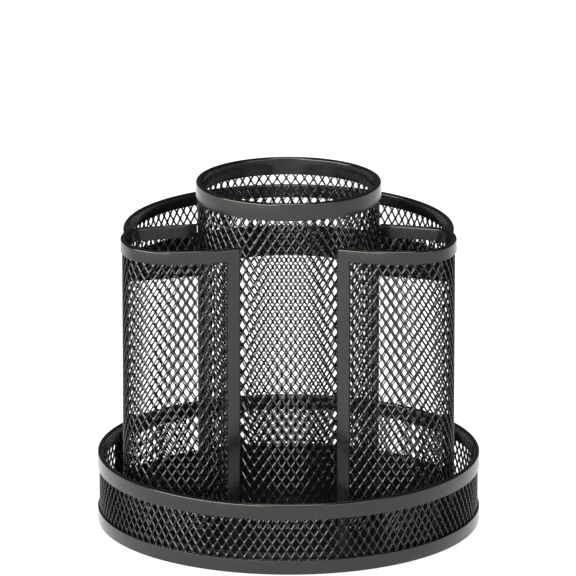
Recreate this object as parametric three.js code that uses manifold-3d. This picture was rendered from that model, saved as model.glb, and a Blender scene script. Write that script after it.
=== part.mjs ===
// Spinning desk sorter: a round steel-mesh tray with a tall centre cup, two front pockets and a raised
// rear compartment, turning on a ball bearing over a fixed base plate. Millimetres, +Z up, the origin
// on the spin axis at the bottom of the rubber feet, and the open front of the sorter towards -Y.
import * as THREE from "three";
import { mergeVertices } from "three/addons/utils/BufferGeometryUtils.js";
import Module from "manifold-3d";

const wasm = await Module();
wasm.setup();

// ---- driving dimensions ----
const TRAY_R = 82.5; // outside of the tray's bands
const TRAY_RIM_Z = 32.6; // top of the tray's rim
const CUP_R = 39.7; // outside of the cup's rim band
const CUP_TOP_Z = 152.4;
const POCKET_TOP_Z = 131.8; // top of the pocket rims and of the rear rim
const REAR_R = 71; // outside of the rear compartment's rim band
const SHELF_Z = 108; // underside of the rear compartment's floor

// sheet and bands: every wall is a mesh sheet whose edge sits in a folded U-shaped band
const MESH_T = 0.6;
const BAND_T = 2.2;
const BAND_LEG_T = 0.6;
const BAND_WEB_T = 0.8;
const TRAY_BAND_H = 6.9;
const BASE_BAND_H = 6.2;
const POCKET_BAND_H = 5.8;
const CUP_BAND_H = 7.7;
const EDGE_GAP = 0.2; // between a sheet's edge and the web of its band
const JOINT_GAP = 0.3; // between welded neighbours

// floor and base
const FOOT_R = 6;
const FOOT_H = 1.5;
const FOOT_CIRCLE_R = 56;
const FOOT_COUNT = 4;
const BASE_PLATE_R = 65;
const BASE_PLATE_T = 1;
const BASE_LIP_H = 2.2;
const FLOOR_T = 0.8;
const FLOOR_RIM_GAP = 0.1; // between the turned-up rim and the bands round it
const FLOOR_RIM_H = 3.7; // how far the floor's turned-up rim stands above its underside
const FLOOR_BEAD_R = 77; // a raised bead pressed round the floor
const FLOOR_BEAD_H = 0.9;
const FLOOR_BEAD_W = 3.8;

// bearing
const BALL_R = 1.5;
const BALL_COUNT = 12;
const BALL_CIRCLE_R = 44;
const BALL_PLAY = 0.05;
const RACE_T = 0.6;
const RACE_FLANK_H = 1.5; // how far the flanks stand beside the balls, from the back of the race
const GROOVE_HALF_W = 1.7;
const RACE_FLANGE_W = 12;
const RIVET_EDGE = 3.7; // from the free edge of a race's flange to its rivets
const CAGE_T = 0.8;
const CAGE_W = 5.6;
const CAGE_HOLE_R = 1.65;
const RIVET_R = 1.5;
const RIVET_HEAD_R = 2.6;
const RIVET_HEAD_H = 0.7;
const RIVET_COUNT = 4;
const HEAD_EDGE = 0.4; // rivet and pin heads slope in by this much towards their tops
const HEAD_CROWN = 0.3; // the part of a head's height that its crown takes
const PIN_R = 2.95;
const PIN_HOLE_R = 3;
const PIN_HEAD_R = 5.5;
const PIN_HEAD_H = 0.9;
const WASHER_R = 7;
const WASHER_T = 0.5;
const FIT_GAP = 0.05; // rivets in their holes, and pieces that slide on each other

// seam strip over the ends of the tray's mesh
const SEAM_W = 10;
const SEAM_T = 0.5;
const SEAM_GAP = 0.1; // between the strip and the mesh
const SEAM_ANGLE = THREE.MathUtils.degToRad(154);

// ---- heights that follow ----
const BASE_Z = FOOT_H;
const LOWER_RACE_Z = BASE_Z + BASE_PLATE_T;
const BALL_Z = LOWER_RACE_Z + RACE_T + BALL_PLAY + BALL_R;
const UPPER_RACE_Z = BALL_Z + BALL_R + BALL_PLAY;
const FLOOR_Z = UPPER_RACE_Z + RACE_T;
const FLOOR_TOP_Z = FLOOR_Z + FLOOR_T;
const WALL_FOOT_Z = FLOOR_TOP_Z + FIT_GAP;
const SHELF_TOP_Z = SHELF_Z + FLOOR_T;

// ---- radii of the mesh sheets' middles ----
const TRAY_MESH_R = TRAY_R - BAND_T / 2;
const CUP_MESH_R = CUP_R - BAND_T / 2;
const REAR_MESH_R = REAR_R - BAND_T / 2;

const RING_SIDES = 48;
const PIN_SIDES = 24;
const FOOT_SIDES = 16;
const RIVET_SIDES = 8;
const ARC_SIDES = 36;
const PATH_SIDES = 28;

// ---- helpers ----
function solid(geometry) {
  for (const name of ["normal", "uv"]) geometry.deleteAttribute(name);
  const merged = mergeVertices(geometry, 1e-4);
  const vertProperties = merged.attributes.position.array;
  const triVerts = new Uint32Array(merged.index.array);
  return new wasm.Manifold(new wasm.Mesh({ numProp: 3, vertProperties, triVerts }));
}

function geometryOf(manifold) {
  const mesh = manifold.getMesh();
  const geometry = new THREE.BufferGeometry();
  geometry.setAttribute("position", new THREE.BufferAttribute(mesh.vertProperties, 3));
  geometry.setIndex(new THREE.BufferAttribute(mesh.triVerts, 1));
  geometry.computeVertexNormals();
  return geometry;
}

// A body of revolution about +Z from [radius, height] corners given anticlockwise.
function turned(corners, sides = RING_SIDES) {
  const points = [...corners, corners[0]].map(([r, z]) => new THREE.Vector2(r, z));
  return new THREE.LatheGeometry(points, sides).rotateX(Math.PI / 2);
}

function disc(corners, sides) {
  const points = corners.map(([r, z]) => new THREE.Vector2(r, z));
  return new THREE.LatheGeometry(points, sides).rotateX(Math.PI / 2);
}

function upright(shape, zLow, zHigh) {
  const options = { depth: zHigh - zLow, bevelEnabled: false, curveSegments: ARC_SIDES };
  return new THREE.ExtrudeGeometry(shape, options).translate(0, 0, zLow);
}

function peg(radius, zLow, zHigh, x, y, sides = RIVET_SIDES) {
  const geometry = new THREE.CylinderGeometry(radius, radius, zHigh - zLow, sides);
  return geometry.rotateX(Math.PI / 2).translate(x, y, (zLow + zHigh) / 2);
}

function onCircle(radius, count, turn) {
  return Array.from({ length: count }, (_, i) => {
    const angle = turn + (i * 2 * Math.PI) / count;
    return [radius * Math.cos(angle), radius * Math.sin(angle)];
  });
}

function drilled(geometry, radius, places, zLow, zHigh, sides) {
  const cut = (body, [x, y]) => body.subtract(solid(peg(radius, zLow, zHigh, x, y, sides)));
  return geometryOf(places.reduce(cut, solid(geometry)));
}

// The points of a plan line moved sideways by a distance, to the left of its direction.
function beside(points, distance) {
  return points.map((point, i) => {
    const before = points[Math.max(i - 1, 0)];
    const after = points[Math.min(i + 1, points.length - 1)];
    const along = after.clone().sub(before).normalize();
    return new THREE.Vector2(point.x - along.y * distance, point.y + along.x * distance);
  });
}

function strip(points, thickness) {
  const left = beside(points, thickness / 2);
  const right = beside(points, -thickness / 2);
  return new THREE.Shape([...left, ...right.reverse()]);
}

function arcPoints(radius, from, to, sides = ARC_SIDES) {
  const curve = new THREE.EllipseCurve(0, 0, radius, radius, from, to);
  return curve.getPoints(sides);
}

function stretch(curve, from, to, sides) {
  const length = curve.getLength();
  const at = (i) => curve.getPointAt((from + ((to - from) * i) / sides) / length);
  return Array.from({ length: sides + 1 }, (_, i) => at(i));
}

// A folded band, open downwards, over the top edge of a sheet that follows a plan line.
function edgeBand(points, slotPoints, zLow, zHigh) {
  const outside = solid(upright(strip(points, BAND_T), zLow, zHigh));
  const slot = upright(strip(slotPoints, BAND_T - 2 * BAND_LEG_T), zLow - 1, zHigh - BAND_WEB_T);
  return outside.subtract(solid(slot));
}

// A folded band round a circle: a U-shaped ring, open downwards or upwards.
function ringBand(outsideR, zLow, zHigh, opensUp) {
  const insideR = outsideR - BAND_T;
  const slotOut = outsideR - BAND_LEG_T;
  const slotIn = insideR + BAND_LEG_T;
  const mouth = opensUp ? zHigh : zLow;
  const back = opensUp ? zLow : zHigh;
  const web = opensUp ? zLow + BAND_WEB_T : zHigh - BAND_WEB_T;
  const corners = [
    [slotIn, mouth],
    [slotIn, web],
    [slotOut, web],
    [slotOut, mouth],
    [outsideR, mouth],
    [outsideR, back],
    [insideR, back],
    [insideR, mouth],
  ];
  return turned(opensUp ? corners.reverse() : corners);
}

function meshTube(middleR, zLow, zHigh) {
  const inside = middleR - MESH_T / 2;
  const outside = middleR + MESH_T / 2;
  return turned([[inside, zLow], [outside, zLow], [outside, zHigh], [inside, zHigh]]);
}

// ---- plan of a front pocket: side is 1 for the right pocket and -1 for the left ----
function pocketCurve(side) {
  const corners = [
    [20.6, -34.3],
    [31.5, -37.9],
    [44, -40.2],
    [56.5, -38.9],
    [65.7, -32.9],
    [70.1, -22.5],
    [70.3, -12],
    [67, -4.4],
    [60, -0.9],
    [39.5, 4],
  ];
  return new THREE.SplineCurve(corners.map(([x, y]) => new THREE.Vector2(side * x, y)));
}

// The room a pocket takes in plan, with the gap that its neighbours keep to it.
function pocketRoom(side, zLow, zHigh) {
  const curve = pocketCurve(side);
  const outwards = -side * (BAND_T / 2 + JOINT_GAP);
  const edge = beside(stretch(curve, 0, curve.getLength(), PATH_SIDES), outwards);
  const insideCup = new THREE.Vector2((side * CUP_MESH_R) / 2, 0);
  const shape = new THREE.Shape([...edge, insideCup]);
  return solid(upright(shape, zLow, zHigh));
}

function clearOfPockets(body) {
  const room = (side) => pocketRoom(side, SHELF_Z - 1, POCKET_TOP_Z + 1);
  return geometryOf(body.subtract(room(1)).subtract(room(-1)));
}

// ---- fixed body ----
function rubberFoot(x, y) {
  const chamfer = 0.3;
  const corners = [
    [0, 0],
    [FOOT_R - chamfer, 0],
    [FOOT_R, chamfer],
    [FOOT_R, FOOT_H],
    [0, FOOT_H],
  ];
  return disc(corners, FOOT_SIDES).translate(x, y, 0);
}

function basePlate() {
  const lipInside = BASE_PLATE_R - BASE_PLATE_T;
  const top = BASE_Z + BASE_PLATE_T;
  const corners = [
    [PIN_HOLE_R, BASE_Z],
    [BASE_PLATE_R, BASE_Z],
    [BASE_PLATE_R, BASE_Z + BASE_LIP_H],
    [lipInside, BASE_Z + BASE_LIP_H],
    [lipInside, top],
    [PIN_HOLE_R, top],
  ];
  return drilled(turned(corners), RIVET_R + FIT_GAP, lowerRivetPlaces, BASE_Z - 1, top + 1);
}

// A stamped race: a groove for the balls and a flat flange, on the side given, for its rivets.
function raceCorners(back, up, flangeSide) {
  const z = (height) => back + up * height;
  const r = (distance) => BALL_CIRCLE_R + flangeSide * distance;
  return [
    [r(GROOVE_HALF_W + RACE_FLANGE_W), z(0)],
    [r(GROOVE_HALF_W + RACE_FLANGE_W), z(RACE_T)],
    [r(GROOVE_HALF_W + RACE_T), z(RACE_T)],
    [r(GROOVE_HALF_W + RACE_T), z(RACE_FLANK_H)],
    [r(GROOVE_HALF_W), z(RACE_FLANK_H)],
    [r(GROOVE_HALF_W), z(RACE_T)],
    [r(-GROOVE_HALF_W), z(RACE_T)],
    [r(-GROOVE_HALF_W), z(RACE_FLANK_H)],
    [r(-GROOVE_HALF_W - RACE_T), z(RACE_FLANK_H)],
    [r(-GROOVE_HALF_W - RACE_T), z(0)],
  ];
}

function lowerRace() {
  const ring = turned(raceCorners(LOWER_RACE_Z, 1, 1));
  return drilled(ring, RIVET_R + FIT_GAP, lowerRivetPlaces, BASE_Z, BALL_Z);
}

function upperRace() {
  const ring = turned(raceCorners(FLOOR_Z, -1, -1));
  return drilled(ring, RIVET_R + FIT_GAP, upperRivetPlaces, BALL_Z, FLOOR_TOP_Z);
}

function rivet(x, y, zLow, zHigh) {
  const shape = [
    [0, zLow - RIVET_HEAD_H + FIT_GAP],
    [RIVET_HEAD_R - HEAD_EDGE, zLow - RIVET_HEAD_H + FIT_GAP],
    [RIVET_HEAD_R, zLow - FIT_GAP],
    [RIVET_R, zLow - FIT_GAP],
    [RIVET_R, zHigh + FIT_GAP],
    [RIVET_HEAD_R, zHigh + FIT_GAP],
    [RIVET_HEAD_R - HEAD_EDGE, zHigh + RIVET_HEAD_H * (1 - HEAD_CROWN)],
    [0, zHigh + RIVET_HEAD_H],
  ];
  return disc(shape, RIVET_SIDES).translate(x, y, 0);
}

function pivotPin() {
  const headZ = FLOOR_TOP_Z + WASHER_T + 2 * FIT_GAP;
  const corners = [
    [0, BASE_Z - PIN_HEAD_H],
    [PIN_HEAD_R - HEAD_EDGE, BASE_Z - PIN_HEAD_H],
    [PIN_HEAD_R, BASE_Z - FIT_GAP],
    [PIN_R, BASE_Z - FIT_GAP],
    [PIN_R, headZ],
    [PIN_HEAD_R, headZ],
    [PIN_HEAD_R - HEAD_EDGE, headZ + PIN_HEAD_H * (1 - HEAD_CROWN)],
    [0, headZ + PIN_HEAD_H],
  ];
  return disc(corners, PIN_SIDES);
}

// ---- cage and balls ----
function ballCage() {
  const inside = BALL_CIRCLE_R - CAGE_W / 2;
  const outside = BALL_CIRCLE_R + CAGE_W / 2;
  const low = BALL_Z - CAGE_T / 2;
  const high = BALL_Z + CAGE_T / 2;
  const ring = turned([[inside, low], [outside, low], [outside, high], [inside, high]]);
  return drilled(ring, CAGE_HOLE_R, ballPlaces, low - 1, high + 1, RIVET_SIDES);
}

function bearingBall(x, y) {
  return new THREE.SphereGeometry(BALL_R, 8, 6).rotateX(Math.PI / 2).translate(x, y, BALL_Z);
}

// ---- turning body ----
function trayFloor() {
  const rimOut = TRAY_R - BAND_T - FLOOR_RIM_GAP;
  const rimIn = rimOut - FLOOR_T;
  const beadLow = FLOOR_Z + FLOOR_BEAD_H;
  const foot = FLOOR_BEAD_W / 2;
  const crest = foot / 2;
  const lean = 0.3; // the bead is this much wider, each way, above the sheet than below it
  const corners = [
    [PIN_HOLE_R, FLOOR_Z],
    [FLOOR_BEAD_R - foot, FLOOR_Z],
    [FLOOR_BEAD_R - crest, beadLow],
    [FLOOR_BEAD_R + crest, beadLow],
    [FLOOR_BEAD_R + foot, FLOOR_Z],
    [rimOut, FLOOR_Z],
    [rimOut, FLOOR_Z + FLOOR_RIM_H],
    [rimIn, FLOOR_Z + FLOOR_RIM_H],
    [rimIn, FLOOR_TOP_Z],
    [FLOOR_BEAD_R + foot + lean, FLOOR_TOP_Z],
    [FLOOR_BEAD_R + crest + lean, beadLow + FLOOR_T],
    [FLOOR_BEAD_R - crest - lean, beadLow + FLOOR_T],
    [FLOOR_BEAD_R - foot - lean, FLOOR_TOP_Z],
    [PIN_HOLE_R, FLOOR_TOP_Z],
  ];
  return drilled(turned(corners), RIVET_R + FIT_GAP, upperRivetPlaces, FLOOR_Z - 1, FLOOR_TOP_Z + 1);
}

function pivotWasher() {
  const low = FLOOR_TOP_Z + FIT_GAP;
  const high = low + WASHER_T;
  const corners = [[PIN_HOLE_R, low], [WASHER_R, low], [WASHER_R, high], [PIN_HOLE_R, high]];
  return turned(corners, PIN_SIDES);
}

function traySeamStrip() {
  const inside = TRAY_MESH_R + MESH_T / 2 + SEAM_GAP;
  const half = SEAM_W / 2 / TRAY_MESH_R;
  const line = arcPoints(inside + SEAM_T / 2, SEAM_ANGLE - half, SEAM_ANGLE + half, 4);
  const low = BASE_Z + BASE_BAND_H + FIT_GAP;
  const high = TRAY_RIM_Z - TRAY_BAND_H - FIT_GAP;
  return upright(strip(line, SEAM_T), low, high);
}

function pocketWall(side) {
  const curve = pocketCurve(side);
  const line = stretch(curve, BAND_WEB_T + EDGE_GAP, curve.getLength(), PATH_SIDES);
  const top = POCKET_TOP_Z - BAND_WEB_T - EDGE_GAP;
  return upright(strip(line, MESH_T), WALL_FOOT_Z, top);
}

function pocketRim(side) {
  const curve = pocketCurve(side);
  const line = stretch(curve, 0, curve.getLength(), PATH_SIDES);
  const slot = stretch(curve, BAND_WEB_T, curve.getLength(), PATH_SIDES);
  const last = slot.length - 1;
  slot[last] = slot[last].clone().multiplyScalar(2).sub(slot[last - 1]);
  const low = POCKET_TOP_Z - POCKET_BAND_H;
  return geometryOf(edgeBand(line, slot, low, POCKET_TOP_Z));
}

function pocketPost(side) {
  const curve = pocketCurve(side);
  const outside = solid(upright(strip(stretch(curve, 0, POCKET_BAND_H, 6), BAND_T), 0, 1));
  const slotLine = stretch(curve, BAND_WEB_T, POCKET_BAND_H + 1, 7);
  const slot = solid(upright(strip(slotLine, BAND_T - 2 * BAND_LEG_T), -1, 2));
  const low = WALL_FOOT_Z;
  const high = POCKET_TOP_Z - POCKET_BAND_H - FIT_GAP;
  const geometry = geometryOf(outside.subtract(slot));
  return geometry.scale(1, 1, high - low).translate(0, 0, low);
}

const REAR_FROM = THREE.MathUtils.degToRad(-6);
const REAR_TO = Math.PI - REAR_FROM;

function rearWall() {
  const line = arcPoints(REAR_MESH_R, REAR_FROM, REAR_TO);
  const top = POCKET_TOP_Z - BAND_WEB_T - EDGE_GAP;
  return clearOfPockets(solid(upright(strip(line, MESH_T), SHELF_TOP_Z + FIT_GAP, top)));
}

function rearRim() {
  const overrun = 0.02;
  const line = arcPoints(REAR_MESH_R, REAR_FROM, REAR_TO);
  const slot = arcPoints(REAR_MESH_R, REAR_FROM - overrun, REAR_TO + overrun);
  return clearOfPockets(edgeBand(line, slot, POCKET_TOP_Z - POCKET_BAND_H, POCKET_TOP_Z));
}

function rearShelf() {
  const flangeH = 5;
  const cupGap = CUP_MESH_R + MESH_T / 2 + JOINT_GAP;
  const plateR = (cupGap + REAR_R) / 2;
  const plateLine = arcPoints(plateR, REAR_FROM, REAR_TO);
  const plate = solid(upright(strip(plateLine, REAR_R - cupGap), SHELF_Z, SHELF_TOP_Z));
  const flangeLine = arcPoints(REAR_R - BAND_LEG_T / 2, REAR_FROM, REAR_TO);
  const flange = solid(upright(strip(flangeLine, BAND_LEG_T), SHELF_Z, SHELF_Z + flangeH));
  return clearOfPockets(plate.add(flange));
}

// ---- places of repeated pieces ----
const footPlaces = onCircle(FOOT_CIRCLE_R, FOOT_COUNT, Math.PI / 4);
const rivetReach = GROOVE_HALF_W + RACE_FLANGE_W - RIVET_EDGE;
const lowerRivetPlaces = onCircle(BALL_CIRCLE_R + rivetReach, RIVET_COUNT, 0);
const upperRivetPlaces = onCircle(BALL_CIRCLE_R - rivetReach, RIVET_COUNT, Math.PI / 4);
const ballPlaces = onCircle(BALL_CIRCLE_R, BALL_COUNT, 0);

// ---- materials ----
const paint = { color: 0x1c1b1b, roughness: 0.42, metalness: 0.35 };
const materials = {
  band: paint,
  mesh: { color: 0x141313, roughness: 0.5, metalness: 0.4 },
  floor: { color: 0x161515, roughness: 0.55, metalness: 0.3 },
  steel: { color: 0x9b9c9e, roughness: 0.35, metalness: 0.9 },
  blackSteel: { color: 0x262626, roughness: 0.35, metalness: 0.8 },
  ball: { color: 0xc9cbce, roughness: 0.12, metalness: 1 },
  cage: { color: 0xd9d7cf, roughness: 0.6, metalness: 0 },
  rubber: { color: 0x202020, roughness: 0.9, metalness: 0 },
};

const sorter = new THREE.Group();

function place(group, name, geometry, material) {
  const mesh = new THREE.Mesh(geometry, new THREE.MeshStandardMaterial(materials[material]));
  mesh.name = name;
  group.add(mesh);
}

// ---- fixed base ----
const base = new THREE.Group();
footPlaces.forEach(([x, y], i) => place(base, `rubber_foot_${i + 1}`, rubberFoot(x, y), "rubber"));
place(base, "base_plate", basePlate(), "steel");
place(base, "lower_race", lowerRace(), "steel");
place(base, "pivot_pin", pivotPin(), "blackSteel");
lowerRivetPlaces.forEach(([x, y], i) => {
  const geometry = rivet(x, y, BASE_Z, LOWER_RACE_Z + RACE_T);
  place(base, `base_rivet_${i + 1}`, geometry, "steel");
});

// ---- cage and balls ----
const rolling = new THREE.Group();
place(rolling, "ball_cage", ballCage(), "cage");
ballPlaces.forEach(([x, y], i) => place(rolling, `bearing_ball_${i + 1}`, bearingBall(x, y), "ball"));

// ---- turning organizer ----
const turntable = new THREE.Group();
place(turntable, "upper_race", upperRace(), "steel");
place(turntable, "pivot_washer", pivotWasher(), "blackSteel");
upperRivetPlaces.forEach(([x, y], i) => {
  place(turntable, `floor_rivet_${i + 1}`, rivet(x, y, UPPER_RACE_Z, FLOOR_TOP_Z), "blackSteel");
});
place(turntable, "tray_floor", trayFloor(), "floor");
const trayWallLow = BASE_Z + BAND_WEB_T + EDGE_GAP;
const trayWallHigh = TRAY_RIM_Z - BAND_WEB_T - EDGE_GAP;
place(turntable, "tray_mesh_wall", meshTube(TRAY_MESH_R, trayWallLow, trayWallHigh), "mesh");
const trayRim = ringBand(TRAY_R, TRAY_RIM_Z - TRAY_BAND_H, TRAY_RIM_Z, false);
place(turntable, "tray_rim_band", trayRim, "band");
place(turntable, "tray_base_band", ringBand(TRAY_R, BASE_Z, BASE_Z + BASE_BAND_H, true), "band");
place(turntable, "tray_seam_strip", traySeamStrip(), "band");
const cupWallHigh = CUP_TOP_Z - BAND_WEB_T - EDGE_GAP;
place(turntable, "cup_mesh_wall", meshTube(CUP_MESH_R, WALL_FOOT_Z, cupWallHigh), "mesh");
place(turntable, "cup_rim_band", ringBand(CUP_R, CUP_TOP_Z - CUP_BAND_H, CUP_TOP_Z, false), "band");
for (const [word, side] of [["left", -1], ["right", 1]]) {
  place(turntable, `${word}_pocket_mesh_wall`, pocketWall(side), "mesh");
  place(turntable, `${word}_pocket_rim_band`, pocketRim(side), "band");
  place(turntable, `${word}_pocket_post`, pocketPost(side), "band");
}
place(turntable, "rear_mesh_wall", rearWall(), "mesh");
place(turntable, "rear_rim_band", rearRim(), "band");
place(turntable, "rear_shelf", rearShelf(), "floor");

sorter.add(base, rolling, turntable);

export default sorter;
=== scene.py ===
"""Looks of the spinning desk sorter: mesh walls, folded bands, pressed floors and the bearing."""

import math

import bmesh
import bpy
import numpy as np
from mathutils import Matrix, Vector


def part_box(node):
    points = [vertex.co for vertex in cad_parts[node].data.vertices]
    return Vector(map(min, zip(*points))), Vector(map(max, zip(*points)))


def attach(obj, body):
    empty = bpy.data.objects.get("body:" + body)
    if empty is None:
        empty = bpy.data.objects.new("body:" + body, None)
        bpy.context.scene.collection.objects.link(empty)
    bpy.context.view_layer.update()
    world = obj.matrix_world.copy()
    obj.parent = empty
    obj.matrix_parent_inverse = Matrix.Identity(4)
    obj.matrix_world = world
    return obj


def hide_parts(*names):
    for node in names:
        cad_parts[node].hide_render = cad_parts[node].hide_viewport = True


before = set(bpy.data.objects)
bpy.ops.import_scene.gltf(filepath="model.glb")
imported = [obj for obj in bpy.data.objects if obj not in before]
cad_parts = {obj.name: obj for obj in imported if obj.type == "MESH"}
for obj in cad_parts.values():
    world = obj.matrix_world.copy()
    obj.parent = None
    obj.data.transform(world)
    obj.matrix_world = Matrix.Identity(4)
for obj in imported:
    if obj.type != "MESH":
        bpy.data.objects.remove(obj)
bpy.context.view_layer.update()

MM = 0.001
FIXED, TRAIN, TURNING = "fixed_base", "ball_train", "turntable"


def low(node):
    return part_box(node)[0]


def high(node):
    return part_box(node)[1]


def centre(node):
    return (low(node) + high(node)) / 2


# ---- sizes of the folded sheet and of the mesh ----
BAND_T = 2.2 * MM
LEG_T = 0.6 * MM
WEB_T = 0.8 * MM
BAND_TOP_ROUND = 0.95 * MM
BASE_FOLD_ROUND = 0.5 * MM
LEG_END_ROUND = 0.22 * MM
BAND_H = high("left_pocket_rim_band").z - low("left_pocket_rim_band").z
SHEET_T = 0.8 * MM
EDGE_IN_BAND = 1.5 * MM  # how far a wall of mesh reaches into the band on its edge
REAR_GAP = 0.03 * MM  # between the rear compartment and the pockets

DIAMOND_W = 3.95 * MM
DIAMOND_H = 6.15 * MM
STRAND_W = 0.62 * MM
STRAND_CROWN = 0.42 * MM  # half the strand's thickness on its middle line
STRAND_EDGE = 0.26 * MM  # half its thickness at its edges

# ---- places that follow from the frame ----
TRAY_R = high("tray_rim_band").x
CUP_R = high("cup_rim_band").x
REAR_R = high("rear_rim_band").y
FLOOR_Z = low("tray_floor").z
FLOOR_TOP = FLOOR_Z + SHEET_T
WALL_FOOT = low("cup_mesh_wall").z
POCKET_TOP = high("left_pocket_rim_band").z
SHELF_Z = low("rear_shelf").z

# ---- sizes of the base and of the ball bearing ----
PLATE_T = 1.0 * MM
RACE_T = 0.6 * MM
BALL_CIRCLE_R = centre("bearing_ball_1").x
GROOVE_HALF_W = 1.7 * MM
RACE_FLANGE_W = 12 * MM
PIN_R = 2.95 * MM
RIVET_R = 1.5 * MM
HOLE_PLAY = 0.05 * MM
BALL_COUNT = sum(name.startswith("bearing_ball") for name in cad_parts)

RING_STEPS = 288
ARC_STEPS = 160
PATH_STEPS = 120


# ---- plan lines: s runs along the line, t to its outside ----
class Ring:
    """A circle, or an arc of one, round the spin axis."""

    def __init__(self, radius, start=0.0, sweep=2 * math.pi):
        self.radius = radius
        self.start = start
        self.length = radius * sweep
        self.closed = sweep > 2 * math.pi - 1e-6

    def at(self, s, t):
        angle = self.start + s / self.radius
        return (self.radius + t) * np.cos(angle), (self.radius + t) * np.sin(angle)


class PocketLine:
    """The middle of a front pocket's wall, from its front post round to the centre cup."""

    CORNERS = ((20.6, -34.3), (31.5, -37.9), (44, -40.2), (56.5, -38.9), (65.7, -32.9),
               (70.1, -22.5), (70.3, -12), (67, -4.4), (60, -0.9), (39.5, 4))
    closed = False

    def __init__(self, side):
        corners = np.array(self.CORNERS) * MM
        points = self.spline(corners, 60)
        points[:, 0] *= side
        steps = np.hypot(*np.diff(points, axis=0).T)
        self.s = np.concatenate([[0], np.cumsum(steps)])
        self.length = self.s[-1]
        along = np.gradient(points, self.s, axis=0)
        along /= np.linalg.norm(along, axis=1)[:, None]
        self.points = points
        self.along = along
        self.outward = side * np.stack([along[:, 1], -along[:, 0]], axis=1)

    @staticmethod
    def spline(corners, steps):
        padded = np.concatenate([corners[:1], corners, corners[-1:]])
        points = []
        for p0, p1, p2, p3 in zip(padded, padded[1:], padded[2:], padded[3:]):
            u = np.linspace(0, 1, steps, endpoint=False)[:, None]
            v0, v1 = (p2 - p0) / 2, (p3 - p1) / 2
            cubic = (2 * p1 - 2 * p2 + v0 + v1) * u ** 3 + (-3 * p1 + 3 * p2 - 2 * v0 - v1) * u ** 2
            points.append(cubic + v0 * u + p1)
        return np.concatenate(points + [corners[-1:]])

    def at(self, s, t):
        inside = np.clip(s, 0, self.length)
        beyond = s - inside
        pick = lambda values: np.interp(inside, self.s, values)
        x = pick(self.points[:, 0]) + pick(self.outward[:, 0]) * t + pick(self.along[:, 0]) * beyond
        y = pick(self.points[:, 1]) + pick(self.outward[:, 1]) * t + pick(self.along[:, 1]) * beyond
        return x, y


POCKETS = {"left": PocketLine(-1), "right": PocketLine(1)}


def rear_start(radius):
    """The angle at which a circle round the axis comes clear of the right pocket's outside face."""
    line = POCKETS["right"]
    angles = np.linspace(math.radians(12), math.radians(-9), 600)
    spots = np.stack([radius * np.cos(angles), radius * np.sin(angles)], axis=1)
    apart = np.linalg.norm(spots[:, None] - line.points[None], axis=2).min(axis=1)
    return angles[np.argmax(apart < BAND_T / 2 + REAR_GAP)]


# ---- mesh building ----
def add_piece(name, verts, faces, body, nodes, material, sharp=40):
    mesh = bpy.data.meshes.new(name)
    mesh.from_pydata([tuple(v) for v in verts], [], [tuple(f) for f in faces])
    return finish_piece(name, mesh, body, nodes, material, sharp)


def finish_piece(name, mesh, body, nodes, material, sharp=40):
    bm = bmesh.new()
    bm.from_mesh(mesh)
    bmesh.ops.recalc_face_normals(bm, faces=bm.faces)
    bm.to_mesh(mesh)
    bm.free()
    mesh.shade_smooth()
    mesh.set_sharp_from_angle(angle=math.radians(sharp))
    mesh.materials.append(material)
    piece = bpy.data.objects.new(name, mesh)
    bpy.context.scene.collection.objects.link(piece)
    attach(piece, body)
    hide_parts(*nodes)
    return piece


def rounded(corners, steps=4):
    """A closed outline from (x, y, radius) corners, with each corner turned into an arc."""
    outline = []
    count = len(corners)
    for i, (x, y, radius) in enumerate(corners):
        here = np.array((x, y))
        back = np.array(corners[i - 1][:2]) - here
        ahead = np.array(corners[(i + 1) % count][:2]) - here
        back_length, ahead_length = np.linalg.norm(back), np.linalg.norm(ahead)
        back, ahead = back / back_length, ahead / ahead_length
        half = math.acos(np.clip(back @ ahead, -1, 1)) / 2
        if radius == 0 or half > math.pi / 2 - 0.02:
            outline.append(here)
            continue
        reach = min(radius / math.tan(half), back_length / 2, ahead_length / 2)
        bow = reach * math.tan(half)
        centre = here + (back + ahead) / np.linalg.norm(back + ahead) * bow / math.sin(half)
        first, last = here + back * reach - centre, here + ahead * reach - centre
        turn = math.atan2(first[0] * last[1] - first[1] * last[0], first @ last)
        for k in range(steps + 1):
            a = turn * k / steps
            spin = np.array(((math.cos(a), -math.sin(a)), (math.sin(a), math.cos(a))))
            outline.append(centre + spin @ first)
    return np.array(outline)


def swept(stations, closed):
    """Vertices and faces of a solid from a grid of points: one row of section points per station."""
    rows, across = stations.shape[:2]
    verts = stations.reshape(-1, 3)
    faces = []
    for i in range(rows if closed else rows - 1):
        a, b = i * across, ((i + 1) % rows) * across
        for k in range(across):
            n = (k + 1) % across
            faces.append((a + k, a + n, b + n, b + k))
    if not closed:
        faces.append(tuple(range(across)))
        faces.append(tuple(reversed(range((rows - 1) * across, rows * across))))
    return verts, faces


def lathe(outline, steps=RING_STEPS):
    angles = np.linspace(0, 2 * math.pi, steps, endpoint=False)[:, None]
    r, z = outline[:, 0][None], outline[:, 1][None]
    grid = np.stack([r * np.cos(angles), r * np.sin(angles), z + 0 * angles], axis=2)
    return swept(grid, True)


def along_line(line, t, z, s_from, s_to, steps):
    """A section of (t, z) points carried along a plan line; each point has its own start and end."""
    u = np.linspace(0, 1, steps + 1)[:, None]
    s = s_from[None] + (s_to - s_from)[None] * u
    x, y = line.at(s, t[None] + 0 * s)
    return swept(np.stack([x, y, z[None] + 0 * s], axis=2), False)


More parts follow.
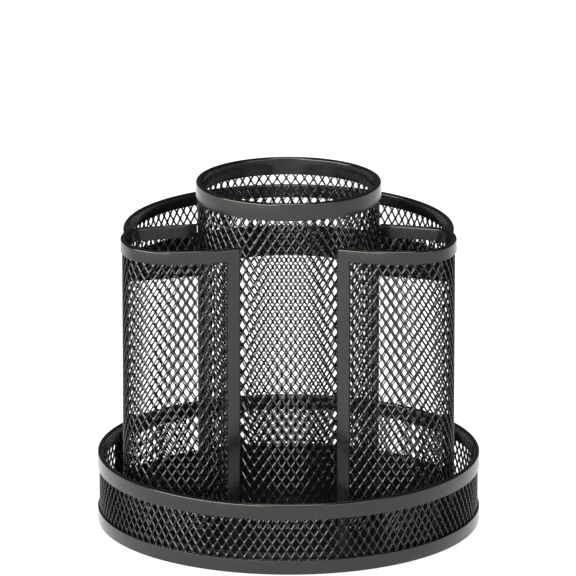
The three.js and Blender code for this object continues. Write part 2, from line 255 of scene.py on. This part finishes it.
def turned_about_axis(outline, at, steps):
    """A small turned piece standing at a place; the outline starts and ends on its own axis."""
    inner = outline[1:-1]
    angles = np.linspace(0, 2 * math.pi, steps, endpoint=False)
    verts = [(at[0], at[1], outline[0][1]), (at[0], at[1], outline[-1][1])]
    for r, z in inner:
        verts += [(at[0] + r * math.cos(a), at[1] + r * math.sin(a), z) for a in angles]
    faces = []
    for k in range(len(inner)):
        ring = 2 + k * steps
        for i in range(steps):
            n = (i + 1) % steps
            if k == 0:
                faces.append((0, ring + n, ring + i))
            if k == len(inner) - 1:
                faces.append((1, ring + i, ring + n))
            else:
                faces.append((ring + i, ring + n, ring + steps + n, ring + steps + i))
    return verts, faces


def drilled(verts, faces, places, radius):
    """The faces of a solid with upright round holes cut right through it, as a mesh."""
    reach = 20 * MM
    blank = bpy.data.meshes.new("blank")
    blank.from_pydata([tuple(v) for v in verts], [], [tuple(f) for f in faces])
    bm = bmesh.new()
    bm.from_mesh(blank)
    bmesh.ops.recalc_face_normals(bm, faces=bm.faces)
    bm.to_mesh(blank)
    bm.free()
    drills = bpy.data.meshes.new("drills")
    bm = bmesh.new()
    for place in places:
        made = bmesh.ops.create_cone(
            bm, cap_ends=True, segments=32, radius1=radius, radius2=radius, depth=reach)
        bmesh.ops.translate(bm, verts=made["verts"], vec=(place[0], place[1], 0))
    bm.to_mesh(drills)
    bm.free()
    body = bpy.data.objects.new("blank", blank)
    tool = bpy.data.objects.new("drills", drills)
    for item in (body, tool):
        bpy.context.scene.collection.objects.link(item)
    modifier = body.modifiers.new("holes", "BOOLEAN")
    modifier.operation, modifier.solver, modifier.object = "DIFFERENCE", "EXACT", tool
    result = bpy.data.meshes.new_from_object(body.evaluated_get(bpy.context.evaluated_depsgraph_get()))
    for item in (body, tool):
        bpy.data.objects.remove(item)
    return result


# ---- expanded mesh ----
def diamond_cell():
    """Half of a cell's points: its border on the strands' middle lines, and the hole inside it."""
    a, b = DIAMOND_W / 2, DIAMOND_H / 2
    inset = 1 - STRAND_W / 2 * math.hypot(a, b) / (a * b)
    side_tip, end_tip = 0.92, 0.885  # how far the hole reaches towards its blunted corners
    border, hole = [], []
    for qx, qy in ((1, 1), (-1, 1), (-1, -1), (1, -1)):
        ends = ((a, 0), (0, b)) if qx * qy > 0 else ((0, b), (a, 0))
        (x0, y0), (x1, y1) = ends
        tip = side_tip if y0 == 0 else end_tip
        border.append((qx * x0, qy * y0))
        hole.append((qx * x0 * inset * tip, qy * y0 * inset * tip))
        for u in (0.2, 0.8):
            x, y = x0 + (x1 - x0) * u, y0 + (y1 - y0) * u
            border.append((qx * x, qy * y))
            hole.append((qx * x * inset, qy * y * inset))
    return np.array(border), np.array(hole)


def flat_mesh(length, z_low, z_high, columns, first):
    """Expanded mesh laid flat: x along the wall, y to its outside, z up."""
    pitch = DIAMOND_W if columns is None else length / columns
    stretch = pitch / DIAMOND_W
    border, hole = diamond_cell()
    rows = range(-1, int((z_high - z_low) / (DIAMOND_H / 2)) + 3)
    cells = []
    for row in rows:
        count = columns if columns else int((length - first) / pitch) + 2
        for column in range(count):
            shift = 0.5 if row % 2 else 0.0
            cells.append(((column + shift) * pitch + first, z_low + row * DIAMOND_H / 2))
    centres = np.array(cells)[:, None]
    layers = []
    sides = (border, STRAND_CROWN), (hole, STRAND_EDGE), (hole, -STRAND_EDGE), (border, -STRAND_CROWN)
    for points, t in sides:
        flat = centres + points[None] * (stretch, 1)
        layers.append(np.stack([flat[..., 0], np.full(flat.shape[:2], t), flat[..., 1]], axis=2))
    verts = np.stack(layers, axis=1).reshape(-1, 3)
    around = len(border)
    quads = []
    for layer in range(3):
        for i in range(around):
            n = (i + 1) % around
            here, below = layer * around, (layer + 1) * around
            quads.append((here + i, here + n, below + n, below + i))
    quads = np.array(quads)
    faces = (np.arange(len(centres)) * 4 * around)[:, None, None] + quads[None]
    return verts, faces.reshape(-1, 4)


def cut(bm, place, outward):
    """Cuts away what lies outside a plane and closes the cut strands."""
    geometry = bm.verts[:] + bm.edges[:] + bm.faces[:]
    made = bmesh.ops.bisect_plane(bm, geom=geometry, plane_co=place, plane_no=outward, clear_outer=True)
    edges = [item for item in made["geom_cut"] if isinstance(item, bmesh.types.BMEdge)]
    bmesh.ops.holes_fill(bm, edges=[edge for edge in edges if edge.is_boundary], sides=0)


def expanded_wall(name, line, s_from, s_to, z_low, z_high):
    """A wall of expanded mesh that follows a plan line, in place of the CAD node of the same name."""
    columns = round(line.length / DIAMOND_W) if line.closed else None
    first = 0.0 if columns else s_from - DIAMOND_W
    verts, faces = flat_mesh(line.length if columns else s_to, z_low, z_high, columns, first)
    mesh = bpy.data.meshes.new(name)
    mesh.from_pydata(verts.tolist(), [], faces.tolist())
    bm = bmesh.new()
    bm.from_mesh(mesh)
    bmesh.ops.remove_doubles(bm, verts=bm.verts, dist=2e-6)
    cut(bm, (0, 0, z_low), (0, 0, -1))
    cut(bm, (0, 0, z_high), (0, 0, 1))
    if not columns:
        cut(bm, (s_from, 0, 0), (-1, 0, 0))
        cut(bm, (s_to, 0, 0), (1, 0, 0))
    flat = np.array([v.co for v in bm.verts])
    x, y = line.at(flat[:, 0], flat[:, 1])
    for vert, vx, vy in zip(bm.verts, x, y):
        vert.co = (vx, vy, vert.co.z)
    if columns:
        bmesh.ops.remove_doubles(bm, verts=bm.verts, dist=2e-6)
    bm.to_mesh(mesh)
    bm.free()
    return finish_piece(name + "_expanded", mesh, TURNING, [name], PAINT_MESH, 30)


# ---- folded bands ----
def band_section(height, crown=BAND_TOP_ROUND):
    """The folded band's outline as (t, depth) points: depth runs from its rounded edge to its legs."""
    half, slot, end = BAND_T / 2, BAND_T / 2 - LEG_T, LEG_END_ROUND
    corners = (
        (half, 0, crown), (half, height, end), (slot, height, end), (slot, WEB_T, 0),
        (-slot, WEB_T, 0), (-slot, height, end), (-half, height, end), (-half, 0, crown),
    )
    return rounded(corners, 6)


def ring_band(name, radius, edge_z, height, down):
    """A band round a circle: edge_z is its rounded edge, and its legs reach down or up from there."""
    section = band_section(height, BAND_TOP_ROUND if down > 0 else BASE_FOLD_ROUND)
    outline = np.stack([radius - BAND_T / 2 + section[:, 0], edge_z - down * section[:, 1]], axis=1)
    verts, faces = lathe(outline)
    return add_piece(name + "_folded", verts, faces, TURNING, [name], PAINT_BAND, 50)


def pocket_band(name, line):
    """A pocket's rim band: a mitre at the front post, and a square end at the cup."""
    section = band_section(BAND_H)
    t, depth = section[:, 0], section[:, 1]
    ends = np.full(len(t), line.length)
    verts, faces = along_line(line, t, POCKET_TOP - depth, depth, ends, PATH_STEPS)
    return add_piece(name + "_folded", verts, faces, TURNING, [name], PAINT_BAND, 50)


def pocket_post(name, line):
    """The same band turned down the pocket's front edge, mitred under the rim."""
    section = band_section(BAND_H)
    t, depth = section[:, 0], section[:, 1]
    mitre_gap = 0.06 * MM
    top = POCKET_TOP - depth - mitre_gap
    u = np.linspace(0, 1, 25)[:, None]
    z = WALL_FOOT + (top - WALL_FOOT)[None] * u
    x, y = line.at(depth, t)
    grid = np.stack([x[None] + 0 * z, y[None] + 0 * z, z], axis=2)
    verts, faces = swept(grid, False)
    return add_piece(name + "_folded", verts, faces, TURNING, [name], PAINT_BAND, 50)


# ---- materials ----
def new_material(name, base, roughness, metallic=0.0):
    material = bpy.data.materials.new(name)
    material.use_nodes = True
    shader = material.node_tree.nodes["Principled BSDF"]
    shader.inputs["Base Color"].default_value = (*base, 1)
    shader.inputs["Roughness"].default_value = roughness
    shader.inputs["Metallic"].default_value = metallic
    return material, shader


def add_node(material, kind, **settings):
    node = material.node_tree.nodes.new(kind)
    for key, value in settings.items():
        setattr(node, key, value)
    return node


def noise(material, scale, detail=2.0):
    """A noise field in the piece's own frame, with features of about 1 / scale metres."""
    place = add_node(material, "ShaderNodeTexCoord")
    field = add_node(material, "ShaderNodeTexNoise")
    field.inputs["Scale"].default_value = scale
    field.inputs["Detail"].default_value = detail
    material.node_tree.links.new(place.outputs["Object"], field.inputs["Vector"])
    return field.outputs["Fac"]


def uneven_gloss(material, shader, value, lowest, highest):
    """Roughness that drifts over a range with a noise value."""
    node = add_node(material, "ShaderNodeMapRange", clamp=True)
    node.inputs["From Min"].default_value = 0.3
    node.inputs["From Max"].default_value = 0.7
    node.inputs["To Min"].default_value = lowest
    node.inputs["To Max"].default_value = highest
    material.node_tree.links.new(value, node.inputs["Value"])
    material.node_tree.links.new(node.outputs["Result"], shader.inputs["Roughness"])


def tint(material, shader, value, dark, light):
    ramp = add_node(material, "ShaderNodeValToRGB")
    ramp.color_ramp.elements[0].position = 0.35
    ramp.color_ramp.elements[1].position = 0.65
    ramp.color_ramp.elements[0].color = (*dark, 1)
    ramp.color_ramp.elements[1].color = (*light, 1)
    material.node_tree.links.new(value, ramp.inputs["Fac"])
    material.node_tree.links.new(ramp.outputs["Color"], shader.inputs["Base Color"])


def bumped(material, shader, value, distance, strength=1.0):
    bump = add_node(material, "ShaderNodeBump")
    bump.inputs["Distance"].default_value = distance
    bump.inputs["Strength"].default_value = strength
    material.node_tree.links.new(value, bump.inputs["Height"])
    material.node_tree.links.new(bump.outputs["Normal"], shader.inputs["Normal"])


def paint(name, tone, gloss, ior, grain, peel):
    """Black powder coat: a faint drift of tone, uneven gloss and the fine ripple of sprayed paint."""
    base = tuple(tone * c for c in (1.04, 1.0, 0.97))
    material, shader = new_material(name, base, gloss)
    shader.inputs["Specular Tint"].default_value = (1, 0.965, 0.91, 1)
    shader.inputs["IOR"].default_value = ior
    dark, light = (tuple(part * c for c in base) for part in (0.8, 1.25))
    tint(material, shader, noise(material, 90, 4), dark, light)
    uneven_gloss(material, shader, noise(material, 450, 3), gloss - 0.05, gloss + 0.07)
    bumped(material, shader, noise(material, grain, 1), peel)
    return material


def plated_steel():
    base = (0.52, 0.52, 0.53)
    material, shader = new_material("zinc_steel", base, 0.3, 1.0)
    tint(material, shader, noise(material, 160, 5), (0.47, 0.47, 0.48), (0.57, 0.57, 0.57))
    uneven_gloss(material, shader, noise(material, 900, 4), 0.24, 0.42)
    bumped(material, shader, noise(material, 2500, 2), 0.004 * MM)
    return material


def black_oxide():
    material, shader = new_material("black_steel", (0.045, 0.045, 0.046), 0.34, 1.0)
    tint(material, shader, noise(material, 420, 4), (0.032, 0.032, 0.034), (0.062, 0.061, 0.060))
    uneven_gloss(material, shader, noise(material, 1300, 3), 0.26, 0.46)
    bumped(material, shader, noise(material, 3000, 2), 0.004 * MM)
    return material


def bearing_steel():
    material, shader = new_material("ball_steel", (0.75, 0.76, 0.78), 0.08, 1.0)
    uneven_gloss(material, shader, noise(material, 1500, 2), 0.05, 0.12)
    return material


def cage_plastic():
    material, shader = new_material("cage_plastic", (0.72, 0.71, 0.67), 0.5)
    tint(material, shader, noise(material, 300, 3), (0.68, 0.67, 0.62), (0.76, 0.75, 0.71))
    bumped(material, shader, noise(material, 3000, 2), 0.01 * MM)
    return material


def foot_rubber():
    material, shader = new_material("rubber_feet", (0.022, 0.022, 0.022), 0.85)
    tint(material, shader, noise(material, 800, 4), (0.016, 0.016, 0.016), (0.032, 0.031, 0.030))
    bumped(material, shader, noise(material, 4000, 3), 0.03 * MM)
    return material


PAINT_BAND = paint("band_paint", 0.0045, 0.17, 1.48, 1500, 0.005 * MM)
PAINT_MESH = paint("mesh_paint", 0.0030, 0.14, 1.38, 2200, 0.006 * MM)
PAINT_FLOOR = paint("floor_paint", 0.0030, 0.42, 1.25, 1300, 0.008 * MM)
ZINC = plated_steel()
BLACK_STEEL = black_oxide()
BALL = bearing_steel()
PLASTIC = cage_plastic()
RUBBER = foot_rubber()


# ---- the organizer's walls and bands ----
def build_tray():
    rim, base = "tray_rim_band", "tray_base_band"
    ring_band(rim, TRAY_R, high(rim).z, high(rim).z - low(rim).z, 1)
    ring_band(base, TRAY_R, low(base).z, high(base).z - low(base).z, -1)
    wall = "tray_mesh_wall"
    short_low, short_high = 3 * MM, 2 * MM  # both edges end inside the bands, short of their webs
    bottom, top = low(wall).z + short_low, high(wall).z - short_high
    expanded_wall(wall, Ring(TRAY_R - BAND_T / 2), 0, 0, bottom, top)


def build_tray_floor():
    """The pressed floor: a raised bead near its edge and a turned-up rim inside the base band."""
    rim_out = high("tray_floor").x
    rim_in = rim_out - SHEET_T
    rim_top = high("tray_floor").z
    bead, foot, crest, rise = 77 * MM, 1.9 * MM, 0.95 * MM, 0.9 * MM
    lean = 0.3 * MM
    bead_under, bead_over = FLOOR_Z + rise, FLOOR_TOP + rise
    hole = PIN_R + HOLE_PLAY
    corners = (
        (hole, FLOOR_Z, 0.1 * MM), (bead - foot, FLOOR_Z, 0.4 * MM), (bead - crest, bead_under, 0.4 * MM),
        (bead + crest, bead_under, 0.4 * MM), (bead + foot, FLOOR_Z, 0.1 * MM),
        (rim_out, FLOOR_Z, 0.5 * MM), (rim_out, rim_top, 0.3 * MM), (rim_in, rim_top, 0.3 * MM),
        (rim_in, FLOOR_TOP, 0.05 * MM), (bead + foot + lean, FLOOR_TOP, 0.05 * MM),
        (bead + crest + lean, bead_over, 0.6 * MM), (bead - crest - lean, bead_over, 0.6 * MM),
        (bead - foot - lean, FLOOR_TOP, 0.5 * MM), (hole, FLOOR_TOP, 0.1 * MM),
    )
    verts, faces = lathe(rounded(corners, 3))
    mesh = drilled(verts, faces, numbered_places("floor_rivet"), RIVET_R + HOLE_PLAY)
    finish_piece("tray_floor_pressed", mesh, TURNING, ["tray_floor"], PAINT_FLOOR, 50)


def build_cup():
    rim, wall = "cup_rim_band", "cup_mesh_wall"
    ring_band(rim, CUP_R, high(rim).z, high(rim).z - low(rim).z, 1)
    expanded_wall(wall, Ring(CUP_R - BAND_T / 2), 0, 0, WALL_FOOT, low(rim).z + EDGE_IN_BAND)


def build_pocket(word):
    line = POCKETS[word]
    pocket_band(f"{word}_pocket_rim_band", line)
    pocket_post(f"{word}_pocket_post", line)
    wall = f"{word}_pocket_mesh_wall"
    top = POCKET_TOP - BAND_H + EDGE_IN_BAND
    expanded_wall(wall, line, BAND_H - EDGE_IN_BAND, line.length, WALL_FOOT, top)


def build_rear():
    """The raised rear compartment: its rim, its wall of mesh and its solid floor with a flange."""
    section = band_section(BAND_H)
    middle = REAR_R - BAND_T / 2
    ring = Ring(middle)
    starts = np.array([rear_start(middle + t) for t in section[:, 0]]) * middle
    ends = math.pi * middle - starts
    verts, faces = along_line(ring, section[:, 0], POCKET_TOP - section[:, 1], starts, ends, ARC_STEPS)
    rim = "rear_rim_band"
    add_piece(rim + "_folded", verts, faces, TURNING, [rim], PAINT_BAND, 50)
    start = rear_start(middle) * middle
    top = POCKET_TOP - BAND_H + EDGE_IN_BAND
    length = math.pi * middle - 2 * start
    expanded_wall("rear_mesh_wall", ring_from(middle), 0, length, SHELF_Z + SHEET_T, top)
    build_shelf()


def ring_from(middle):
    """The arc that the rear wall follows, from one pocket round the back to the other."""
    start = rear_start(middle)
    return Ring(middle, start, math.pi - 2 * start)


def build_shelf():
    """The rear compartment's solid floor, with a flange turned up along its outside."""
    inside = CUP_R - BAND_T / 2 + 0.6 * MM
    flange_top = high("rear_shelf").z
    spokes = 14
    plate = [inside + (REAR_R - 1.6 * MM - inside) * k / spokes for k in range(1, spokes)]
    under = [(r, SHELF_Z, 0) for r in plate]
    over = [(r, SHELF_Z + SHEET_T, 0) for r in reversed(plate)]
    flange_in = REAR_R - LEG_T
    corners = [(inside, SHELF_Z, 0.2 * MM)] + under + [
        (REAR_R, SHELF_Z, 0.7 * MM), (REAR_R, flange_top, 0.25 * MM),
        (flange_in, flange_top, 0.25 * MM), (flange_in, SHELF_Z + SHEET_T, 0.1 * MM),
    ] + over + [(inside, SHELF_Z + SHEET_T, 0.2 * MM)]
    outline = rounded(corners, 3)
    first = np.array([rear_start(r) for r in outline[:, 0]])
    u = np.linspace(0, 1, ARC_STEPS + 1)[:, None]
    angle = first[None] + (math.pi - 2 * first)[None] * u
    r, z = outline[:, 0][None], outline[:, 1][None]
    grid = np.stack([r * np.cos(angle), r * np.sin(angle), z + 0 * angle], axis=2)
    verts, faces = swept(grid, False)
    add_piece("rear_shelf_pressed", verts, faces, TURNING, ["rear_shelf"], PAINT_FLOOR, 50)


def build_seam_strip():
    """The strip over the ends of the tray's mesh, with its two rows of spot welds."""
    name = "tray_seam_strip"
    face_r = high_radius(name)
    thick, width = 0.5 * MM, 10 * MM
    bottom, top = low(name).z, high(name).z
    middle = centre(name)
    turn = math.atan2(middle.y, middle.x)
    across, along = 41, 66
    weld_rows, weld_r, weld_depth = (-2.6 * MM, 2.6 * MM), 0.9 * MM, 0.16 * MM
    weld_heights = np.linspace(bottom + 2.6 * MM, top - 2.6 * MM, 4)
    s = np.linspace(-width / 2, width / 2, across)
    z = np.linspace(bottom, top, along)
    edge = np.minimum(width / 2 - np.abs(s)[None], np.minimum(z - bottom, top - z)[:, None])
    fall = 0.12 * MM * np.clip(1 - edge / (0.4 * MM), 0, 1) ** 2
    dents = np.zeros((along, across))
    for row in weld_rows:
        for height in weld_heights:
            apart = np.hypot(s[None] - row, z[:, None] - height)
            dents += weld_depth * 0.5 * (1 + np.cos(np.pi * np.clip(apart / weld_r, 0, 1)))
    outside = face_r - fall - dents
    angle = turn + s[None] / face_r + 0 * z[:, None]
    faces = []
    verts = []
    for radius in (outside, np.full_like(outside, face_r - thick)):
        grid = np.stack([radius * np.cos(angle), radius * np.sin(angle), z[:, None] + 0 * radius], axis=2)
        verts += grid.reshape(-1, 3).tolist()
    layer = across * along
    for i in range(along - 1):
        for k in range(across - 1):
            a = i * across + k
            quad = (a, a + 1, a + across + 1, a + across)
            faces.append(quad)
            faces.append(tuple(reversed([corner + layer for corner in quad])))
    border = [k for k in range(across)] + [i * across + across - 1 for i in range(1, along)]
    border += [(along - 1) * across + k for k in reversed(range(across - 1))]
    border += [i * across for i in reversed(range(1, along - 1))]
    for k, a in enumerate(border):
        b = border[(k + 1) % len(border)]
        faces.append((b, a, a + layer, b + layer))
    add_piece(name + "_welded", verts, faces, TURNING, [name], PAINT_BAND, 50)


# ---- the base and the ball bearing ----
def high_radius(node):
    """The largest distance of a node's vertices from the spin axis."""
    return max(math.hypot(v.co.x, v.co.y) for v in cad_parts[node].data.vertices)


def numbered(stem):
    return sorted(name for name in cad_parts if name.startswith(stem + "_"))


def numbered_places(stem):
    return [tuple(centre(name))[:2] for name in numbered(stem)]


def build_feet():
    for name in numbered("rubber_foot"):
        radius = (high(name).x - low(name).x) / 2
        height = high(name).z
        corners = (
            (0, 0, 0), (radius - 0.35 * MM, 0, 0.35 * MM), (radius - 0.1 * MM, 0.9 * MM, 0.3 * MM),
            (radius, 1.1 * MM, 0.1 * MM), (radius, height, 0.1 * MM), (0, height, 0),
        )
        verts, faces = turned_about_axis(rounded(corners, 5), centre(name), 64)
        add_piece(name + "_moulded", verts, faces, FIXED, [name], RUBBER, 50)


def build_base_plate():
    """The bottom plate: a folded lip round it and one pressed stiffening ring."""
    name = "base_plate"
    foot, top = low(name).z, low(name).z + PLATE_T
    radius, lip = high(name).x, high(name).z
    ring_r, ring_half, rise, slope = 24 * MM, 4 * MM, 0.7 * MM, 1.2 * MM
    ring_in, ring_out = ring_r - ring_half, ring_r + ring_half
    hole, bend = PIN_R + HOLE_PLAY, 0.8 * MM
    corners = (
        (hole, foot, 0.1 * MM), (ring_in, foot, bend), (ring_in + slope, foot + rise, bend),
        (ring_out - slope, foot + rise, bend), (ring_out, foot, bend),
        (radius, foot, 1.1 * MM), (radius, lip, 0.4 * MM),
        (radius - PLATE_T, lip, 0.4 * MM), (radius - PLATE_T, top, 0.3 * MM),
        (ring_out, top, bend), (ring_out - slope, top + rise, bend),
        (ring_in + slope, top + rise, bend), (ring_in, top, bend), (hole, top, 0.1 * MM),
    )
    verts, faces = lathe(rounded(corners, 4))
    mesh = drilled(verts, faces, numbered_places("base_rivet"), RIVET_R + HOLE_PLAY)
    finish_piece(name + "_pressed", mesh, FIXED, [name], ZINC, 40)


def build_race(name, body, back, up, flange_side, rivets):
    """A stamped race: a rounded groove for the balls and a flat flange with rivet holes."""
    flank = high(name).z - low(name).z
    edge = 0.12 * MM

    def corner(distance, height, radius):
        return BALL_CIRCLE_R + flange_side * distance, back + up * height, radius

    half = GROOVE_HALF_W
    corners = (
        corner(half + RACE_FLANGE_W, 0, edge), corner(half + RACE_FLANGE_W, RACE_T, edge),
        corner(half + RACE_T, RACE_T, 0.3 * MM), corner(half + RACE_T, flank, edge),
        corner(half, flank, edge), corner(half, RACE_T, 1.3 * MM), corner(-half, RACE_T, 1.3 * MM),
        corner(-half, flank, edge), corner(-half - RACE_T, flank, edge), corner(-half - RACE_T, 0, 0.7 * MM),
    )
    verts, faces = lathe(rounded(corners, 4))
    mesh = drilled(verts, faces, numbered_places(rivets), RIVET_R + HOLE_PLAY)
    finish_piece(name + "_stamped", mesh, body, [name], ZINC, 40)


def riveted(name, suffix, body, shank, gap, grip, head_h, material, steps):
    """A rivet with a low domed head at each end: grip gives the faces that it holds together."""
    head_r = (high(name).x - low(name).x) / 2
    grip_low, grip_high = grip
    angles = np.linspace(0, math.pi / 2, 9)
    reach = head_r * np.cos(angles) ** 0.55
    rise = head_h * np.sin(angles)
    under = [(r, grip_low - gap - h) for r, h in zip(reach[::-1], rise[::-1])]
    over = [(r, grip_high + gap + h) for r, h in zip(reach, rise)]
    under[0] = (0, under[0][1])
    over[-1] = (0, over[-1][1])
    outline = under + [(shank, grip_low - gap), (shank, grip_high + gap)] + over
    verts, faces = turned_about_axis(outline, centre(name), steps)
    add_piece(name + suffix, verts, faces, body, [name], material, 40)


def build_rivets():
    head = 0.6 * MM
    lower = (low("base_plate").z, low("lower_race").z + RACE_T)
    for name in numbered("base_rivet"):
        riveted(name, "_domed", FIXED, RIVET_R, HOLE_PLAY, lower, head, ZINC, 40)
    upper = (high("upper_race").z - RACE_T, FLOOR_TOP)
    for name in numbered("floor_rivet"):
        riveted(name, "_domed", TURNING, RIVET_R, HOLE_PLAY, upper, head, BLACK_STEEL, 40)
    pin = "pivot_pin"
    grip = (low("base_plate").z, high("pivot_washer").z)
    riveted(pin, "_domed", FIXED, PIN_R, HOLE_PLAY, grip, 0.85 * MM, BLACK_STEEL, 96)


def build_washer():
    name = "pivot_washer"
    outside, inside = high(name).x, PIN_R + HOLE_PLAY
    bottom, top, edge = low(name).z, high(name).z, 0.12 * MM
    corners = ((inside, bottom, edge), (outside, bottom, edge), (outside, top, edge), (inside, top, edge))
    verts, faces = lathe(rounded(corners, 3), 120)
    add_piece(name + "_turned", verts, faces, TURNING, [name], BLACK_STEEL, 40)


def build_cage():
    """The balls' cage: a flat ring that is wide at each ball and narrow between them."""
    name = "ball_cage"
    outside, bottom, top = high(name).x, low(name).z, high(name).z
    half, waist, edge = outside - BALL_CIRCLE_R, 1.1 * MM, 0.2 * MM
    corners = ((-half, bottom, edge), (half, bottom, edge), (half, top, edge), (-half, top, edge))
    section = rounded(corners, 3)
    angles = np.linspace(0, 2 * math.pi, 360, endpoint=False)[:, None]
    narrow = 1 - waist / half * (0.5 - 0.5 * np.cos(BALL_COUNT * angles))
    r = BALL_CIRCLE_R + section[:, 0][None] * narrow
    z = section[:, 1][None] + 0 * angles
    verts, faces = swept(np.stack([r * np.cos(angles), r * np.sin(angles), z], axis=2), True)
    mesh = drilled(verts, faces, numbered_places("bearing_ball"), 1.65 * MM)
    finish_piece(name + "_moulded", mesh, TRAIN, [name], PLASTIC, 40)


def build_balls():
    for name in numbered("bearing_ball"):
        bm = bmesh.new()
        bmesh.ops.create_icosphere(bm, subdivisions=4, radius=(high(name).z - low(name).z) / 2)
        bmesh.ops.translate(bm, verts=bm.verts, vec=centre(name))
        mesh = bpy.data.meshes.new(name + "_ground")
        bm.to_mesh(mesh)
        bm.free()
        finish_piece(name + "_ground", mesh, TRAIN, [name], BALL, 60)


build_tray()
build_tray_floor()
build_cup()
build_pocket("left")
build_pocket("right")
build_rear()

build_seam_strip()
build_feet()
build_base_plate()
build_race("lower_race", FIXED, low("lower_race").z, 1, 1, "base_rivet")
build_race("upper_race", TURNING, high("upper_race").z, -1, -1, "floor_rivet")
build_rivets()
build_washer()
build_cage()
build_balls()


# ---- floor, light and camera ----
AMBIENT = 0.08  # of the dim surroundings; the softboxes and the floor give the rest
KEY_RADIANCE = 8.0
LEFT_RADIANCE = 18.0
RIGHT_RADIANCE = 6.0
TOP_RADIANCE = 5.0
FLOOR_GLOW = 0.95


def build_stage():
    mesh = bpy.data.meshes.new("studio_floor")
    reach = 6.0
    corners = [(-reach, -reach, 0), (reach, -reach, 0), (reach, reach, 0), (-reach, reach, 0)]
    mesh.from_pydata(corners, [], [(0, 1, 2, 3)])
    material, shader = new_material("studio_floor", (0.5, 0.5, 0.5), 0.9)
    shader.inputs["Emission Color"].default_value = (1, 1, 1, 1)
    shader.inputs["Emission Strength"].default_value = FLOOR_GLOW
    mesh.materials.append(material)
    floor = bpy.data.objects.new("studio_floor", mesh)
    bpy.context.scene.collection.objects.link(floor)


def add_softbox(name, azimuth, elevation, width, height, radiance):
    """A rectangular light that faces the object; azimuth runs to the right of straight in front."""
    distance, aim = 2.2, Vector((0, 0, 0.08))
    turn, rise = math.radians(azimuth), math.radians(elevation)
    towards = Vector((math.sin(turn) * math.cos(rise), -math.cos(turn) * math.cos(rise), math.sin(rise)))
    data = bpy.data.lights.new(name, "AREA")
    data.shape, data.size, data.size_y = "RECTANGLE", width, height
    data.energy = radiance * math.pi * width * height
    light = bpy.data.objects.new(name, data)
    light.location = aim + towards * distance
    light.rotation_euler = towards.to_track_quat("Z", "Y").to_euler()
    bpy.context.scene.collection.objects.link(light)


def build_light():
    """Softboxes, dim light from all round, and a white backdrop behind whatever the camera sees."""
    world = bpy.data.worlds.new("studio")
    world.use_nodes = True
    nodes, links = world.node_tree.nodes, world.node_tree.links
    backdrop = nodes["Background"]
    backdrop.inputs["Color"].default_value = (1, 1, 1, 1)
    backdrop.inputs["Strength"].default_value = 1.0
    around = nodes.new("ShaderNodeBackground")
    around.inputs["Color"].default_value = (1, 1, 1, 1)
    around.inputs["Strength"].default_value = AMBIENT
    seen = nodes.new("ShaderNodeLightPath")
    mix = nodes.new("ShaderNodeMixShader")
    links.new(seen.outputs["Is Camera Ray"], mix.inputs[0])
    links.new(around.outputs[0], mix.inputs[1])
    links.new(backdrop.outputs[0], mix.inputs[2])
    links.new(mix.outputs[0], nodes["World Output"].inputs["Surface"])
    bpy.context.scene.world = world
    add_softbox("key_softbox", 0, 48, 1.3, 1.0, KEY_RADIANCE)
    add_softbox("left_softbox", -50, 10, 3.2, 0.55, LEFT_RADIANCE)
    add_softbox("right_softbox", 38, 10, 1.6, 0.5, RIGHT_RADIANCE)
    add_softbox("top_softbox", 0, 88, 0.9, 0.9, TOP_RADIANCE)


def build_camera():
    distance, elevation = 3.2, math.radians(15.75)
    aim = Vector((-0.25 * MM, 0, 104.3 * MM))
    data = bpy.data.cameras.new("camera")
    data.sensor_width = 36
    data.lens = 465.75
    data.clip_end = 50
    camera = bpy.data.objects.new("camera", data)
    away = Vector((0, -math.cos(elevation), math.sin(elevation)))
    camera.location = aim + away * distance
    camera.rotation_euler = (-away).to_track_quat("-Z", "Y").to_euler()
    bpy.context.scene.collection.objects.link(camera)
    bpy.context.scene.camera = camera


build_stage()
build_light()
build_camera()
bpy.context.scene.view_settings.view_transform = "Standard"
